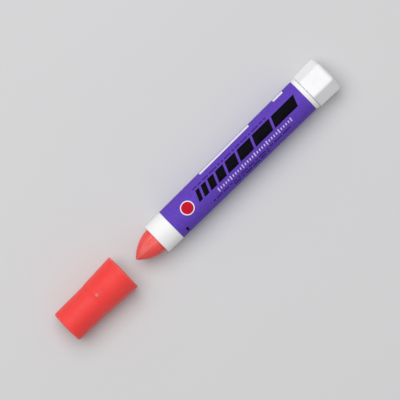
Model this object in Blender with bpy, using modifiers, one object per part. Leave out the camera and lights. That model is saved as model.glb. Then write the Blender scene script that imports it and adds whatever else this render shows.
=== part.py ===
"""Twist-up solid paint marker, with its cap taken off and lying in line with the nose.

The hexagonal knob turns a feed screw. The screw's coarse left-hand helix draws a keyed carrier along the
barrel, and the carrier pushes the paint stick out through the collar. The cap pushes over the collar.

The marker lies along X with the knob towards +X, and rests on Z = 0. Lengths are in metres. Each piece is
drawn along its own Z axis, from a datum on the marker's axis, and Z runs from the nose to the knob.
"""

import math

import bmesh
import bpy
from mathutils import Matrix

MM = 0.001

# Paint stick: its diameter sets the bore of the barrel, and so the barrel and the cap
PAINT_DIAMETER = 13.0 * MM
PAINT_POINT_LENGTH = 13.3 * MM
PAINT_POINT_CURVE = 1.7
PAINT_POINT_POWER = 0.85
PAINT_OUT_AT_REST = 13.3 * MM
PAINT_CLEARANCE = 0.15 * MM

# Barrel
BARREL_LENGTH = 97.6 * MM
BARREL_FRONT_WALL = 0.95 * MM
BARREL_REAR_WALL = 1.55 * MM
COLLAR_LENGTH = 9.65 * MM
COLLAR_EDGE_RADIUS = 0.5 * MM
REAR_BAND_LENGTH = 2.2 * MM
REAR_EDGE_CHAMFER = 0.25 * MM
THROAT_LENGTH = 5.0 * MM
THROAT_CHAMFER = 0.3 * MM

# Guide ribs inside the barrel, which keep the carrier from turning
RIB_COUNT = 4
RIB_WIDTH = 1.4 * MM
RIB_HEIGHT = 0.5 * MM
RIB_SETBACK = 0.05 * MM

# Label wrapped in a shallow recess of the barrel
LABEL_THICKNESS = 0.15 * MM
LABEL_GAP = 0.1 * MM

# Knob
KNOB_LENGTH = 13.7 * MM
KNOB_FLATS = 6
KNOB_CORNER_PROUD = 0.55 * MM
KNOB_FLAT_INSET = 0.55 * MM
KNOB_FLARE = 0.4 * MM
KNOB_NECK_LIP = 0.3 * MM
KNOB_NECK_CHAMFER = 0.6 * MM
KNOB_END_FILLET = 2.0 * MM
KNOB_DOME = 0.75 * MM
KNOB_END_WALL = 2.3 * MM
KNOB_ROLL = math.radians(-4.3)

# Journal of the knob, and the bead that snaps into a groove of the barrel
JOURNAL_LENGTH = 8.0 * MM
JOURNAL_WALL = 1.1 * MM
JOURNAL_CHAMFER = 0.4 * MM
BEAD_HEIGHT = 0.45 * MM
BEAD_HALF_WIDTH = 0.6 * MM
BEAD_SETBACK = 4.5 * MM

# Feed screw, with a hexagonal root pressed into the boss of the knob
SCREW_FRONT_SETBACK = 20.0 * MM
SCREW_CORE_DIAMETER = 4.0 * MM
SCREW_SHANK_DIAMETER = 6.0 * MM
SCREW_POINT_CHAMFER = 0.6 * MM
SCREW_FLANGE_THICKNESS = 1.2 * MM
ROOT_ACROSS_FLATS = 4.6 * MM
ROOT_LENGTH = 8.4 * MM
BOSS_WALL = 1.6 * MM

# Feed helix, one start, left hand: clockwise turning, seen from the knob, feeds the paint out
HELIX_LEAD = 4.0 * MM
HELIX_HEIGHT = 0.8 * MM
HELIX_CREST_WIDTH = 0.9 * MM
HELIX_FOOT_WIDTH = 1.8 * MM
HELIX_CLEARANCE = 0.2 * MM
HELIX_SINK = 0.4 * MM

# Carrier: a cup for the foot of the paint stick round a sleeve that runs on the helix
CARRIER_FLOOR = 2.0 * MM
CUP_DEPTH = 5.0 * MM
CUP_WALL = 0.65 * MM
SLEEVE_WALL = 1.1 * MM
SLEEVE_REACH = 6.5 * MM
BORE_CLEARANCE = 0.4 * MM
RETRACTED_DEPTH = 0.3 * MM

# Cap, whose tapered skirt grips the collar
CAP_LENGTH = 37.4 * MM
CAP_SKIRT_LENGTH = 17.0 * MM
CAP_SKIRT_TAPER = math.radians(2.78)
CAP_CROWN_TAPER = math.radians(0.37)
CAP_WALL = 0.88 * MM
CAP_END_WALL = 1.2 * MM
CAP_SHOULDER = 0.3 * MM
CAP_SHOULDER_LENGTH = 0.6 * MM
CAP_END_FILLET = 2.2 * MM
CAP_INNER_FILLET = 1.5 * MM
CAP_DOME = 0.35 * MM
CAP_LIP_RADIUS = 0.3 * MM
CAP_CLEARANCE = 0.12 * MM
CAP_LABEL_GAP = 0.3 * MM
CAP_OFF_GAP = 8.15 * MM

# Fits and facets
RUNNING_GAP = 0.15 * MM
SEAT_GAP = 0.2 * MM
CUT_MARGIN = 1.0 * MM
SIDES = 48
HELIX_SIDES = 16
ARC_STEPS = 4
DOME_STEPS = 5
POINT_STEPS = 10
WELD = 0.001 * MM

# Radii that fit one another, from the paint outwards
PAINT_RADIUS = PAINT_DIAMETER / 2
THROAT_RADIUS = PAINT_RADIUS + PAINT_CLEARANCE
RIB_CREST_RADIUS = THROAT_RADIUS + RIB_SETBACK
GUIDE_RADIUS = RIB_CREST_RADIUS + RIB_HEIGHT
NOSE_RADIUS = GUIDE_RADIUS + BARREL_FRONT_WALL
TAIL_RADIUS = GUIDE_RADIUS + BARREL_REAR_WALL
LABEL_RECESS = LABEL_GAP + LABEL_THICKNESS
CARRIER_RADIUS = GUIDE_RADIUS - RUNNING_GAP
CUP_RADIUS = CARRIER_RADIUS - CUP_WALL
FOOT_RADIUS = CUP_RADIUS - SEAT_GAP
JOURNAL_RADIUS = GUIDE_RADIUS - RUNNING_GAP
BEAD_RADIUS = JOURNAL_RADIUS + BEAD_HEIGHT
GROOVE_RADIUS = BEAD_RADIUS + SEAT_GAP
CORE_RADIUS = SCREW_CORE_DIAMETER / 2
CREST_RADIUS = CORE_RADIUS + HELIX_HEIGHT
SLEEVE_RADIUS = CREST_RADIUS + HELIX_CLEARANCE + SLEEVE_WALL
ROOT_CORNER_RADIUS = ROOT_ACROSS_FLATS / math.sqrt(3)
BOSS_RADIUS = ROOT_CORNER_RADIUS + BOSS_WALL

# Places along the axis, from the front face of the collar
LABEL_FRONT = COLLAR_LENGTH
LABEL_REAR = BARREL_LENGTH - REAR_BAND_LENGTH
KNOB_SEAT = BARREL_LENGTH + SEAT_GAP
KNOB_END = KNOB_SEAT + KNOB_LENGTH
JOURNAL_FRONT = KNOB_SEAT - JOURNAL_LENGTH
BEAD_PLACE = BARREL_LENGTH - BEAD_SETBACK
PAINT_TIP = -PAINT_OUT_AT_REST
FEED_BACK = PAINT_OUT_AT_REST + RETRACTED_DEPTH
CARRIER_REAR = JOURNAL_FRONT - SEAT_GAP - FEED_BACK
CUP_FLOOR = CARRIER_REAR - CARRIER_FLOOR
CUP_RIM = CUP_FLOOR - CUP_DEPTH
SLEEVE_FRONT = CUP_FLOOR - SLEEVE_REACH
ROOT_END = KNOB_END - KNOB_DOME - KNOB_END_WALL
FLANGE_REAR = ROOT_END - ROOT_LENGTH
FLANGE_FRONT = FLANGE_REAR - SCREW_FLANGE_THICKNESS
BOSS_FRONT = FLANGE_REAR + SEAT_GAP
PAINT_BORE_FRONT = SCREW_FRONT_SETBACK - FEED_BACK - SEAT_GAP - CREST_RADIUS
CAP_MOUTH = PAINT_TIP - CAP_OFF_GAP
CAP_END = CAP_MOUTH - CAP_LENGTH
CAP_SEAT_DEPTH = COLLAR_LENGTH - CAP_LABEL_GAP

# The cap's mouth is the widest ring below the axis, so it sets the height of the axis over the floor
CAP_MOUTH_BORE = NOSE_RADIUS + CAP_CLEARANCE + CAP_SEAT_DEPTH * math.tan(CAP_SKIRT_TAPER)
CAP_MOUTH_RADIUS = CAP_MOUTH_BORE + CAP_WALL
AXIS_HEIGHT = CAP_MOUTH_RADIUS
MIDDLE = (CAP_END + KNOB_END) / 2


def clear_scene():
    for old in list(bpy.data.objects):
        bpy.data.objects.remove(old, do_unlink=True)


def new_collection(name):
    collection = bpy.data.collections.new(name)
    bpy.context.scene.collection.children.link(collection)
    return collection


def plastic(name, colour, roughness):
    """A Principled material in a plain colour, given as sRGB values from 0 to 255."""
    linear = [((c / 255 + 0.055) / 1.055) ** 2.4 for c in colour]
    made = bpy.data.materials.new(name)
    made.use_nodes = True
    shader = made.node_tree.nodes["Principled BSDF"]
    shader.inputs["Base Color"].default_value = (*linear, 1.0)
    shader.inputs["Roughness"].default_value = roughness
    shader.inputs["Metallic"].default_value = 0.0
    made.diffuse_color = (*linear, 1.0)
    return made


def arc(centre, radius, start, end, steps=ARC_STEPS):
    """Points (r, z) on an arc round centre, with angles in degrees from the outward r direction."""
    angles = [math.radians(start + (end - start) * i / steps) for i in range(steps + 1)]
    return [(centre[0] + radius * math.cos(a), centre[1] + radius * math.sin(a)) for a in angles]


def dome(rim_radius, rim_z, height, steps=DOME_STEPS):
    """Points (r, z) of a shallow crown, from its middle on the axis to just inside its rim."""
    radii = [rim_radius * i / steps for i in range(steps)]
    return [(r, rim_z + height * (1 - (r / rim_radius) ** 2)) for r in radii]


def link(obj, collection, parent, place):
    collection.objects.link(obj)
    obj.parent = parent
    obj.location = (0.0, 0.0, place)
    return obj


def turned(name, profile, closed=True, sides=SIDES, phase=0.0):
    """A solid of revolution round Z. The profile (r, z) runs down its outer side, and up its bore if closed.

    The phase is the angle at which the profile stands, and so the angle of the facets' first corner.
    """
    points = [(r * math.cos(phase), r * math.sin(phase), z) for r, z in profile]
    edges = [(i, i + 1) for i in range(len(points) - 1)]
    if closed:
        edges.append((len(points) - 1, 0))
    mesh = bpy.data.meshes.new(name)
    mesh.from_pydata(points, edges, [])
    obj = bpy.data.objects.new(name, mesh)
    spin = obj.modifiers.new("turn", "SCREW")
    spin.axis = "Z"
    spin.steps = sides
    spin.render_steps = sides
    spin.use_merge_vertices = True
    spin.merge_threshold = WELD
    spin.use_smooth_shade = True
    return obj


def mesh_object(name, bm):
    mesh = bpy.data.meshes.new(name)
    bm.to_mesh(mesh)
    bm.free()
    return bpy.data.objects.new(name, mesh)


def hexagon(name, corner_radius, front, rear):
    """A six-sided prism along Z."""
    bm = bmesh.new()
    place = Matrix.Translation((0.0, 0.0, (front + rear) / 2))
    bmesh.ops.create_cone(
        bm,
        cap_ends=True,
        segments=6,
        radius1=corner_radius,
        radius2=corner_radius,
        depth=rear - front,
        matrix=place,
    )
    return mesh_object(name, bm)


def flat_cutter(name, angle):
    """A block whose inner face is one flat of the knob, leaning out towards the end by the flare.

    It is wider than the knob and reaches past both ends, so that it cuts clean through.
    """
    neck = TAIL_RADIUS - KNOB_FLAT_INSET
    lean = Matrix.Rotation(math.atan2(KNOB_FLARE, KNOB_LENGTH), 4, "Y")
    size = Matrix.Diagonal((TAIL_RADIUS, 4 * TAIL_RADIUS, 3 * KNOB_LENGTH, 1.0))
    face = Matrix.Translation((neck, 0.0, 0.0)) @ lean @ Matrix.Translation((TAIL_RADIUS / 2, 0.0, 0.0))
    bm = bmesh.new()
    bmesh.ops.create_cube(bm, size=1.0, matrix=Matrix.Rotation(angle, 4, "Z") @ face @ size)
    return mesh_object(name, bm)


def bar(name, inner, outer, width, front, rear, angle):
    """A straight bar along Z that stands on a radius, turned by angle round the axis."""
    bm = bmesh.new()
    size = Matrix.Diagonal((outer - inner, width, rear - front, 1.0))
    place = Matrix.Translation(((inner + outer) / 2, 0.0, (front + rear) / 2))
    bmesh.ops.create_cube(bm, size=1.0, matrix=Matrix.Rotation(angle, 4, "Z") @ place @ size)
    return mesh_object(name, bm)


def helix_ridge(name, turns, rear, allowance):
    """One closed ridge, a trapezium wound left-handed round Z from rear towards the nose.

    The allowance is added to its flanks and crest, so that the same helix makes the ridge of the screw
    and the groove of the carrier.
    """
    foot = CORE_RADIUS - HELIX_SINK
    slope = (HELIX_FOOT_WIDTH - HELIX_CREST_WIDTH) / 2 / HELIX_HEIGHT
    crest = CREST_RADIUS + allowance
    crest_half = HELIX_CREST_WIDTH / 2 + allowance - slope * allowance
    foot_half = crest_half + slope * (crest - foot)
    outline = [
        (foot, rear + foot_half),
        (crest, rear + crest_half),
        (crest, rear - crest_half),
        (foot, rear - foot_half),
    ]
    wound = turned(name, outline, sides=HELIX_SIDES, phase=math.pi / SIDES)
    spin = wound.modifiers["turn"]
    spin.iterations = turns
    spin.screw_offset = -HELIX_LEAD
    spin.use_merge_vertices = False
    bpy.context.scene.collection.objects.link(wound)
    swept = evaluated_mesh(wound)
    bpy.data.objects.remove(wound, do_unlink=True)
    bm = bmesh.new()
    bm.from_mesh(swept)
    bmesh.ops.holes_fill(bm, edges=[e for e in bm.edges if e.is_boundary], sides=len(outline))
    bmesh.ops.recalc_face_normals(bm, faces=bm.faces)
    return mesh_object(name, bm)


def evaluated_mesh(obj):
    bpy.context.view_layer.update()
    graph = bpy.context.evaluated_depsgraph_get()
    return bpy.data.meshes.new_from_object(obj.evaluated_get(graph))


def combine(target, tool, operation, cutters):
    """Adds a Boolean of tool to target. The tool shares the target's datum and is kept as a hidden cutter."""
    link(tool, cutters, target, 0.0)
    tool.hide_render = True
    tool.display_type = "WIRE"
    boolean = target.modifiers.new(tool.name, "BOOLEAN")
    boolean.operation = operation
    boolean.solver = "EXACT"
    boolean.object = tool


def settle(obj, material):
    """Turns the modifiers' result into the object's own mesh, shaded smooth between its edges."""
    mesh = evaluated_mesh(obj)
    obj.modifiers.clear()
    obj.data = mesh
    mesh.name = obj.name
    mesh.shade_smooth()
    mesh.set_sharp_from_angle(angle=math.radians(32))
    mesh.materials.clear()
    mesh.materials.append(material)


def barrel_radius(z):
    """The barrel's outside swells evenly from the collar to the knob."""
    return NOSE_RADIUS + (TAIL_RADIUS - NOSE_RADIUS) * z / BARREL_LENGTH


def bead_profile(radius, height, half_width, middle):
    """A ring of triangular section standing on a cylinder, from its rear edge to its front edge."""
    return [(radius, middle + half_width), (radius + height, middle), (radius, middle - half_width)]


def make_barrel(parts, cutters, axis):
    edge = COLLAR_EDGE_RADIUS
    rear_edge = REAR_EDGE_CHAMFER
    outside = [
        (barrel_radius(BARREL_LENGTH) - rear_edge, BARREL_LENGTH),
        (barrel_radius(BARREL_LENGTH - rear_edge), BARREL_LENGTH - rear_edge),
        (barrel_radius(LABEL_REAR), LABEL_REAR),
        (barrel_radius(LABEL_REAR) - LABEL_RECESS, LABEL_REAR),
        (barrel_radius(LABEL_FRONT) - LABEL_RECESS, LABEL_FRONT),
        (barrel_radius(LABEL_FRONT), LABEL_FRONT),
    ]
    nose = arc((barrel_radius(edge) - edge, edge), edge, 0, -90)
    throat = [
        (THROAT_RADIUS + THROAT_CHAMFER, 0.0),
        (THROAT_RADIUS, THROAT_CHAMFER),
        (THROAT_RADIUS, THROAT_LENGTH),
        (GUIDE_RADIUS, THROAT_LENGTH + GUIDE_RADIUS - THROAT_RADIUS),
    ]
    groove_half = BEAD_HALF_WIDTH + SEAT_GAP
    groove = bead_profile(GUIDE_RADIUS, GROOVE_RADIUS - GUIDE_RADIUS, groove_half, BEAD_PLACE)[::-1]
    mouth = [
        (GUIDE_RADIUS, BARREL_LENGTH - JOURNAL_CHAMFER),
        (GUIDE_RADIUS + JOURNAL_CHAMFER, BARREL_LENGTH),
    ]
    barrel = link(turned("barrel", outside + nose + throat + groove + mouth), parts, axis, 0.0)
    rib_rear = JOURNAL_FRONT - SEAT_GAP
    rib_foot = (GUIDE_RADIUS + barrel_radius(LABEL_FRONT) - LABEL_RECESS) / 2
    for i in range(RIB_COUNT):
        angle = math.tau * (i + 0.5) / RIB_COUNT
        rib = bar(
            f"rib_{i + 1}", RIB_CREST_RADIUS, rib_foot, RIB_WIDTH, THROAT_LENGTH - CUT_MARGIN, rib_rear, angle
        )
        combine(barrel, rib, "UNION", cutters)
    settle(barrel, plastic("barrel_white", (246, 245, 247), 0.38))


def make_label(parts, axis):
    length = LABEL_REAR - LABEL_FRONT
    front = barrel_radius(LABEL_FRONT + RUNNING_GAP)
    rear = barrel_radius(LABEL_REAR - RUNNING_GAP)
    profile = [
        (rear, length - RUNNING_GAP),
        (front, RUNNING_GAP),
        (front - LABEL_THICKNESS, RUNNING_GAP),
        (rear - LABEL_THICKNESS, length - RUNNING_GAP),
    ]
    label = link(turned("label", profile), parts, axis, LABEL_FRONT)
    settle(label, plastic("label_purple", (106, 73, 186), 0.42))


def make_knob(parts, cutters, axis):
    """A turned blank with its journal, given six flared flats and cored out from the journal round a boss."""
    neck_radius = TAIL_RADIUS + KNOB_CORNER_PROUD
    end_radius = neck_radius + KNOB_FLARE
    fillet = KNOB_END_FILLET
    rim_z = KNOB_LENGTH - KNOB_DOME
    blank = dome(end_radius - fillet, rim_z, KNOB_DOME)
    blank += arc((end_radius - fillet, rim_z - fillet), fillet, 90, 0)
    blank += [(neck_radius, KNOB_NECK_CHAMFER), (neck_radius - KNOB_NECK_LIP, 0.0), (JOURNAL_RADIUS, 0.0)]
    blank += bead_profile(JOURNAL_RADIUS, BEAD_HEIGHT, BEAD_HALF_WIDTH, BEAD_PLACE - KNOB_SEAT)
    blank += [
        (JOURNAL_RADIUS, JOURNAL_CHAMFER - JOURNAL_LENGTH),
        (JOURNAL_RADIUS - JOURNAL_CHAMFER, -JOURNAL_LENGTH),
        (0.0, -JOURNAL_LENGTH),
    ]
    knob = link(turned("turn_knob", blank, closed=False), parts, axis, KNOB_SEAT)
    for i in range(KNOB_FLATS):
        angle = KNOB_ROLL + math.tau * i / KNOB_FLATS
        combine(knob, flat_cutter(f"flat_{i + 1}", angle), "DIFFERENCE", cutters)

    boss_front = BOSS_FRONT - KNOB_SEAT
    pocket_floor = ROOT_END + SEAT_GAP - KNOB_SEAT
    pocket_radius = JOURNAL_RADIUS - JOURNAL_WALL
    pocket_front = -JOURNAL_LENGTH - CUT_MARGIN
    pocket = [
        (0.0, boss_front),
        (BOSS_RADIUS, boss_front),
        (BOSS_RADIUS, pocket_floor),
        (pocket_radius, pocket_floor),
        (pocket_radius, pocket_front),
        (0.0, pocket_front),
    ]
    combine(knob, turned("knob_pocket", pocket, closed=False), "DIFFERENCE", cutters)

    socket_radius = ROOT_CORNER_RADIUS + SEAT_GAP
    socket = hexagon("knob_socket", socket_radius, boss_front - CUT_MARGIN, pocket_floor)
    combine(knob, socket, "DIFFERENCE", cutters)
    settle(knob, plastic("knob_white", (247, 246, 248), 0.36))


def make_feed_screw(parts, cutters, axis):
    shank = SCREW_SHANK_DIAMETER / 2
    cone_front = JOURNAL_FRONT - SCREW_FRONT_SETBACK
    flange_front = FLANGE_FRONT - SCREW_FRONT_SETBACK
    flange_rear = FLANGE_REAR - SCREW_FRONT_SETBACK
    profile = [
        (0.0, flange_rear),
        (BOSS_RADIUS, flange_rear),
        (BOSS_RADIUS, flange_front),
        (shank, flange_front),
        (shank, cone_front + shank - CORE_RADIUS),
        (CORE_RADIUS, cone_front),
        (CORE_RADIUS, SCREW_POINT_CHAMFER),
        (CORE_RADIUS - SCREW_POINT_CHAMFER, 0.0),
        (0.0, 0.0),
    ]
    core = turned("feed_screw", profile, closed=False, sides=HELIX_SIDES)
    screw = link(core, parts, axis, SCREW_FRONT_SETBACK)

    helix_rear = cone_front - HELIX_FOOT_WIDTH
    turns = int((helix_rear - SCREW_POINT_CHAMFER - HELIX_FOOT_WIDTH) / HELIX_LEAD)
    combine(screw, helix_ridge("screw_helix", turns, helix_rear, 0.0), "UNION", cutters)

    root_front = flange_rear - SCREW_FLANGE_THICKNESS / 2
    root = hexagon("screw_root", ROOT_CORNER_RADIUS, root_front, flange_rear + ROOT_LENGTH)
    combine(screw, root, "UNION", cutters)
    settle(screw, plastic("screw_natural", (226, 224, 218), 0.45))
    return SCREW_FRONT_SETBACK + helix_rear


def make_carrier(parts, cutters, axis, helix_rear):
    """The cup and its sleeve. The groove in the sleeve is cut in phase with the helix on the screw."""
    bore = CORE_RADIUS + HELIX_CLEARANCE
    floor = -CARRIER_FLOOR
    rim = floor - CUP_DEPTH
    sleeve_front = floor - SLEEVE_REACH
    profile = [
        (CARRIER_RADIUS, 0.0),
        (CARRIER_RADIUS, rim),
        (CUP_RADIUS, rim),
        (CUP_RADIUS, floor),
        (SLEEVE_RADIUS, floor),
        (SLEEVE_RADIUS, sleeve_front),
        (bore, sleeve_front),
        (bore, 0.0),
    ]
    carrier = link(turned("carrier", profile), parts, axis, CARRIER_REAR)

    keyway_floor = CUP_RADIUS - SEAT_GAP
    keyway_width = RIB_WIDTH + 2 * SEAT_GAP
    for i in range(RIB_COUNT):
        angle = math.tau * (i + 0.5) / RIB_COUNT
        keyway = bar(
            f"keyway_{i + 1}",
            keyway_floor,
            CARRIER_RADIUS + CUT_MARGIN,
            keyway_width,
            rim - CUT_MARGIN,
            CUT_MARGIN,
            angle,
        )
        combine(carrier, keyway, "DIFFERENCE", cutters)

    lead_count = math.floor((helix_rear - CARRIER_REAR) / HELIX_LEAD)
    groove_rear = helix_rear - HELIX_LEAD * (lead_count - 1) - CARRIER_REAR
    groove_turns = math.ceil((groove_rear - sleeve_front) / HELIX_LEAD) + 1
    groove = helix_ridge("sleeve_groove", groove_turns, groove_rear, HELIX_CLEARANCE)
    combine(carrier, groove, "DIFFERENCE", cutters)
    settle(carrier, plastic("carrier_natural", (232, 230, 224), 0.45))


def make_paint_stick(parts, axis):
    """Bored from behind for the screw and the sleeve, stepped at its foot, and pointed at the nose."""
    foot = CUP_FLOOR - SEAT_GAP - PAINT_TIP
    step = CUP_RIM - SEAT_GAP - PAINT_TIP
    sleeve_end = SLEEVE_FRONT - SEAT_GAP - PAINT_TIP
    bore = CREST_RADIUS + BORE_CLEARANCE
    bore_front = PAINT_BORE_FRONT - PAINT_TIP
    inside = [
        (0.0, bore_front),
        (bore, bore_front + bore),
        (bore, sleeve_end),
        (SLEEVE_RADIUS + SEAT_GAP, sleeve_end),
        (SLEEVE_RADIUS + SEAT_GAP, foot),
    ]
    outside = [(FOOT_RADIUS, foot), (FOOT_RADIUS, step), (PAINT_RADIUS, step)]
    point = []
    for i in range(POINT_STEPS + 1):
        share = (1 - i / POINT_STEPS) ** 2
        radius = PAINT_RADIUS * (1 - (1 - share) ** PAINT_POINT_CURVE) ** PAINT_POINT_POWER
        point.append((radius, PAINT_POINT_LENGTH * share))
    stick = link(turned("paint_stick", inside + outside + point, closed=False), parts, axis, PAINT_TIP)
    settle(stick, plastic("paint_red", (238, 104, 97), 0.55))


def make_cap(parts, axis):
    """A thin-walled cap: a skirt that widens to the mouth, a shoulder, and a crown with a domed end."""
    skirt = math.tan(CAP_SKIRT_TAPER)
    crown = math.tan(CAP_CROWN_TAPER)
    step_radius = CAP_MOUTH_RADIUS - CAP_SKIRT_LENGTH * skirt
    crown_radius = step_radius - CAP_SHOULDER
    crown_z = -CAP_SKIRT_LENGTH - CAP_SHOULDER_LENGTH
    end_z = -CAP_LENGTH + CAP_DOME
    end_radius = crown_radius - crown * (crown_z - end_z)
    lip = CAP_LIP_RADIUS
    fillet = CAP_END_FILLET
    outside = arc((CAP_MOUTH_RADIUS - lip, -lip), lip, 90, 0)
    outside += [(step_radius, -CAP_SKIRT_LENGTH), (crown_radius, crown_z)]
    outside += arc((end_radius - fillet, end_z + fillet), fillet, 0, -90)
    outside += [(r, 2 * end_z - z) for r, z in reversed(dome(end_radius - fillet, end_z, CAP_DOME))]

    inner_end = -CAP_LENGTH + CAP_DOME + CAP_END_WALL
    inner_fillet = CAP_INNER_FILLET
    inner_radius = end_radius - CAP_WALL
    inside = [(0.0, inner_end)]
    inside += arc((inner_radius - inner_fillet, inner_end + inner_fillet), inner_fillet, -90, 0)
    inside += [
        (crown_radius - CAP_WALL, crown_z),
        (step_radius - CAP_WALL, -CAP_SKIRT_LENGTH),
        (CAP_MOUTH_BORE, 0.0),
    ]
    cap = link(turned("cap", inside + outside, closed=False), parts, axis, CAP_MOUTH)
    settle(cap, plastic("cap_red", (238, 78, 76), 0.34))


def main():
    clear_scene()
    parts = new_collection("solid_paint_marker")
    cutters = new_collection("cutters")
    axis = bpy.data.objects.new("marker_axis", None)
    parts.objects.link(axis)
    axis.location = (-MIDDLE, 0.0, AXIS_HEIGHT)
    axis.rotation_euler = (0.0, math.pi / 2, 0.0)
    make_barrel(parts, cutters, axis)
    make_label(parts, axis)
    make_knob(parts, cutters, axis)
    helix_rear = make_feed_screw(parts, cutters, axis)
    make_carrier(parts, cutters, axis, helix_rear)
    make_paint_stick(parts, axis)
    make_cap(parts, axis)


main()
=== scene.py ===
"""Looks of a twist-up solid paint marker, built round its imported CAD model.

Places along the marker start at the front face of the collar, and grow towards the knob. Places, radii and
other sizes of the pieces are in millimetres. Angles round the marker are in degrees from straight up, and
grow towards the lit side, +Y. Depths in materials, and the floor, the lamp and the camera's place and view,
are in metres.
"""

import math
import random

import bmesh
import bpy
from mathutils import Matrix, Vector, noise


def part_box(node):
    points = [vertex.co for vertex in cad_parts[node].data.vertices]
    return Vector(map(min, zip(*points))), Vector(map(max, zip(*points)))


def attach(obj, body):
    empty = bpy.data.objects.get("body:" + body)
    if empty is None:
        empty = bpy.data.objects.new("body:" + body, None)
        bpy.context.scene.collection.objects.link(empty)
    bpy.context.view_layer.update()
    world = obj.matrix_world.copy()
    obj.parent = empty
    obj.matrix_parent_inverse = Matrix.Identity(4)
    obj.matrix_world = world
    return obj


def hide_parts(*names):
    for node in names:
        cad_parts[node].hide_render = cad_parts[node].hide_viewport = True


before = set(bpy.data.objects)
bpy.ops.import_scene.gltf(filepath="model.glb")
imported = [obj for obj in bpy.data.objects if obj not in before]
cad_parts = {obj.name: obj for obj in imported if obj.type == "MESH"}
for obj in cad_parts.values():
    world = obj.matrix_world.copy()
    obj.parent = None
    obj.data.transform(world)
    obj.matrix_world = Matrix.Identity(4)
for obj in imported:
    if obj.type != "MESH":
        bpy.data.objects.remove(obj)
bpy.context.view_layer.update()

MM = 0.001
NOSE_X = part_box("barrel")[0].x
AXIS_Z = (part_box("cap")[0].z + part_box("cap")[1].z) / 2


def reach(node):
    """A CAD node's first and last place along the axis, and its outer radius."""
    low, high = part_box(node)
    return (low.x - NOSE_X) / MM, (high.x - NOSE_X) / MM, (high.z - low.z) / 2 / MM


# Sizes that the frame shows
_, BARREL_LENGTH, _ = reach("barrel")
FILM_FRONT, FILM_REAR, _ = reach("label")
JOURNAL_FRONT, KNOB_END, _ = reach("turn_knob")
_, SCREW_END, _ = reach("feed_screw")
CARRIER_FRONT, _, _ = reach("carrier")
PAINT_TIP, PAINT_FOOT, PAINT_RADIUS = reach("paint_stick")
CAP_END, CAP_MOUTH, CAP_MOUTH_RADIUS = reach("cap")

# Other sizes, as in the CAD model
RUNNING_GAP = 0.15
SEAT_GAP = 0.2
PAINT_CLEARANCE = 0.15
RIB_SETBACK = 0.05
RIB_HEIGHT = 0.5
FRONT_WALL = 0.95
REAR_WALL = 1.55
THROAT_LENGTH = 5.0
THROAT_CHAMFER = 0.3
LABEL_RECESS = 0.25
LABEL_THICKNESS = 0.15
BEAD_SETBACK = 4.5
BEAD_HALF_WIDTH = 0.6
GROOVE_DEPTH = 0.5
JOURNAL_WALL = 1.1
JOURNAL_CHAMFER = 0.4
KNOB_FLAT_INSET = 0.55
KNOB_CORNER_PROUD = 0.55
KNOB_FLARE = 0.4
KNOB_ROLL = 4.3
KNOB_END_FILLET = 2.0
KNOB_DOME = 0.75
ROOT_LENGTH = 8.4
BOSS_RADIUS = 4.26
SOCKET_CORNER = 2.86
PAINT_BORE_RADIUS = 3.2
PAINT_BORE_FRONT = 3.4
PAINT_SLEEVE_RADIUS = 4.3
CUP_WALL = 0.65
CUP_DEPTH = 5.0
CAP_SKIRT = 17.0
CAP_SKIRT_TAPER = math.tan(math.radians(2.78))
CAP_CROWN_TAPER = math.tan(math.radians(0.37))
CAP_SHOULDER = 0.3
CAP_WALL = 0.88
CAP_END_WALL = 1.2
CAP_END_FILLET = 2.2
CAP_INNER_FILLET = 1.5
CAP_DOME = 0.35

# Sizes that follow the photo more closely than the CAD model does
BAND_FLARE = 0.28
COLLAR_EDGE = 0.55
KNOB_RIM = 0.25
POINT_CURVE = 1.85
POINT_POWER = 0.8
CAP_SHOULDER_LENGTH = 1.7

# Sizes that follow from those above
THROAT_RADIUS = PAINT_RADIUS + PAINT_CLEARANCE
RIB_CREST_RADIUS = THROAT_RADIUS + RIB_SETBACK
GUIDE_RADIUS = RIB_CREST_RADIUS + RIB_HEIGHT
NOSE_RADIUS = GUIDE_RADIUS + FRONT_WALL
TAIL_RADIUS = GUIDE_RADIUS + REAR_WALL
JOURNAL_RADIUS = GUIDE_RADIUS - RUNNING_GAP
LABEL_FRONT = FILM_FRONT - RUNNING_GAP
LABEL_REAR = FILM_REAR + RUNNING_GAP
RIB_REAR = JOURNAL_FRONT - SEAT_GAP
GROOVE_PLACE = BARREL_LENGTH - BEAD_SETBACK
GROOVE_HALF_WIDTH = BEAD_HALF_WIDTH + SEAT_GAP
KNOB_SEAT = BARREL_LENGTH + SEAT_GAP
KNOB_LENGTH = KNOB_END - KNOB_SEAT
KNOB_FLAT = TAIL_RADIUS - KNOB_FLAT_INSET
KNOB_CORNER = TAIL_RADIUS + KNOB_CORNER_PROUD
POCKET_RADIUS = JOURNAL_RADIUS - JOURNAL_WALL
POCKET_FLOOR = SCREW_END + SEAT_GAP
BOSS_FRONT = POCKET_FLOOR - ROOT_LENGTH
PAINT_FOOT_RADIUS = JOURNAL_RADIUS - CUP_WALL - SEAT_GAP
PAINT_STEP = PAINT_FOOT - CUP_DEPTH
PAINT_SLEEVE = CARRIER_FRONT - SEAT_GAP
CAP_STEP = CAP_MOUTH - CAP_SKIRT
CAP_BORE_RADIUS = CAP_MOUTH_RADIUS - CAP_WALL


# Mesh helpers

FILLET_SHARE = 0.48
TINY = 1e-6
SHARP_ANGLE = 40.0
NORMAL_WEIGHT = 80


def along_x(s):
    """The frame's X, in metres, of a place along the marker."""
    return NOSE_X + s * MM


def spot(s, radius, angle):
    """A point of the frame, from its place along the axis, its distance from it and its angle round it."""
    turn = math.radians(angle)
    return (along_x(s), radius * MM * math.sin(turn), AXIS_Z + radius * MM * math.cos(turn))


def even_angles(count):
    return [360.0 * i / count for i in range(count)]


def apart(angle, other):
    """The angle between two directions round the axis, from 0 to 180 degrees."""
    return abs((angle - other + 180.0) % 360.0 - 180.0)


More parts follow.
